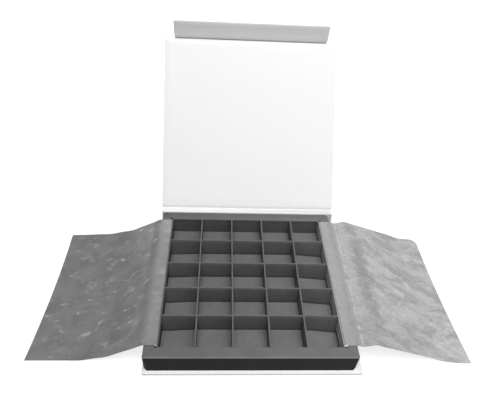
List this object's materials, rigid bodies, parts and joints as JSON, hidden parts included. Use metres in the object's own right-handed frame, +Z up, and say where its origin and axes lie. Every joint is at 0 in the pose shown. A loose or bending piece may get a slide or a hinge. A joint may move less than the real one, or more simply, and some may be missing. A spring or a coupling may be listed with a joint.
{
  "type": "mineral specimen box",
  "caption": "Book-style paper-covered specimen box with a hinged lid and magnetic flap, a hollow-walled card tray with slatted cells and two fold-over soft cover sheets.",
  "frame": {"origin": "middle of the case's underside, on the surface that it stands on", "axes": "+X to the right of someone facing the open box, +Y to the spine and lid, +Z up"},
  "size_m": [0.3901, 0.304, 0.1936],
  "materials": {
    "white_paper": "smooth white coated paper, semi-matt",
    "greyboard": "uncoated greyboard",
    "dark_card": "dyed dark grey card, matt",
    "left_sheet": "mottled grey suede-effect sheet",
    "right_sheet": "mottled grey suede-effect sheet",
    "magnet": "nickel-plated disc magnet"
  },
  "bodies": {
    "case_and_tray": {"base_board": "greyboard", "base_wrap": "white_paper", "base_liner": "white_paper", "spine_board": "greyboard", "spine_wrap": "white_paper", "spine_liner": "white_paper", "tray_magnet_left": "magnet", "tray_magnet_right": "magnet", "tray_floor": "dark_card", "tray_front_wall": "dark_card", "tray_back_wall": "dark_card", "tray_left_wall": "dark_card", "tray_right_wall": "dark_card", "long_slat_1": "dark_card", "long_slat_2": "dark_card", "long_slat_3": "dark_card", "long_slat_4": "dark_card", "cross_slat_1": "dark_card", "cross_slat_2": "dark_card", "cross_slat_3": "dark_card", "cross_slat_4": "dark_card", "left_side_card": "dark_card", "right_side_card": "dark_card", "left_sheet_tab": "left_sheet", "right_sheet_tab": "right_sheet"},
    "lid": {"lid_board": "greyboard", "lid_wrap": "white_paper", "lid_liner": "white_paper"},
    "flap": {"flap_board": "greyboard", "flap_wrap": "white_paper", "flap_liner": "white_paper", "flap_magnet_left": "magnet", "flap_magnet_right": "magnet"},
    "left_rim_part": {"left_sheet_rim": "left_sheet"},
    "left_steep_part": {"left_sheet_steep": "left_sheet"},
    "left_shallow_part": {"left_sheet_shallow": "left_sheet"},
    "left_table_part": {"left_sheet_apron": "left_sheet"},
    "right_rim_part": {"right_sheet_rim": "right_sheet"},
    "right_dip_part": {"right_sheet_dip": "right_sheet"},
    "right_rise_part": {"right_sheet_rise": "right_sheet"},
    "right_slope_part": {"right_sheet_slope": "right_sheet"},
    "right_table_part": {"right_sheet_apron": "right_sheet"}
  },
  "joints": [
    {"name": "lid_hinge", "type": "hinge", "parent": "case_and_tray", "child": "lid", "pos_m": [0, 0.094, 0.023], "axis": [1, 0, 0], "range_deg": [-52.9, 127.1]},
    {"name": "flap_hinge", "type": "hinge", "parent": "lid", "child": "flap", "pos_m": [0, 0.21008, 0.17092], "axis": [1, 0, 0], "range_deg": [-50, 40]},
    {"name": "left_sheet_fold", "type": "hinge", "parent": "case_and_tray", "child": "left_rim_part", "pos_m": [-0.08235, 0, 0.0223], "axis": [0, 1, 0], "range_deg": [0, 180]},
    {"name": "left_rim_bend", "type": "hinge", "parent": "left_rim_part", "child": "left_steep_part", "pos_m": [-0.0936, 0, 0.0223], "axis": [0, 1, 0], "range_deg": [0, 27]},
    {"name": "left_slope_bend", "type": "hinge", "parent": "left_steep_part", "child": "left_shallow_part", "pos_m": [-0.12568, 0, 0.00596], "axis": [0, 1, 0], "range_deg": [-13.5, 0]},
    {"name": "left_table_bend", "type": "hinge", "parent": "left_shallow_part", "child": "left_table_part", "pos_m": [-0.14903, 0, 0.00035], "axis": [0, 1, 0], "range_deg": [-13.5, 0]},
    {"name": "right_sheet_fold", "type": "hinge", "parent": "case_and_tray", "child": "right_rim_part", "pos_m": [0.07815, 0, 0.0223], "axis": [0, -1, 0], "range_deg": [0, 176]},
    {"name": "right_dip_bend", "type": "hinge", "parent": "right_rim_part", "child": "right_dip_part", "pos_m": [0.0894, 0, 0.0223], "axis": [0, -1, 0], "range_deg": [0, 22]},
    {"name": "right_rise_bend", "type": "hinge", "parent": "right_dip_part", "child": "right_rise_part", "pos_m": [0.09434, 0, 0.02069], "axis": [0, -1, 0], "range_deg": [-29, 0]},
    {"name": "right_crest_bend", "type": "hinge", "parent": "right_rise_part", "child": "right_slope_part", "pos_m": [0.10544, 0, 0.02285], "axis": [0, -1, 0], "range_deg": [0, 30.2]},
    {"name": "right_table_bend", "type": "hinge", "parent": "right_slope_part", "child": "right_table_part", "pos_m": [0.17005, 0, 0.00035], "axis": [0, -1, 0], "range_deg": [-19.2, 0]}
  ],
  "couplings": [
    {"joint": "left_rim_bend", "follows": "left_sheet_fold", "ratio": 0.15},
    {"joint": "left_slope_bend", "follows": "left_sheet_fold", "ratio": -0.075},
    {"joint": "left_table_bend", "follows": "left_sheet_fold", "ratio": -0.075},
    {"joint": "right_dip_bend", "follows": "right_sheet_fold", "ratio": 0.125},
    {"joint": "right_rise_bend", "follows": "right_sheet_fold", "ratio": -0.16477},
    {"joint": "right_crest_bend", "follows": "right_sheet_fold", "ratio": 0.17159},
    {"joint": "right_table_bend", "follows": "right_sheet_fold", "ratio": -0.10909}
  ]
}
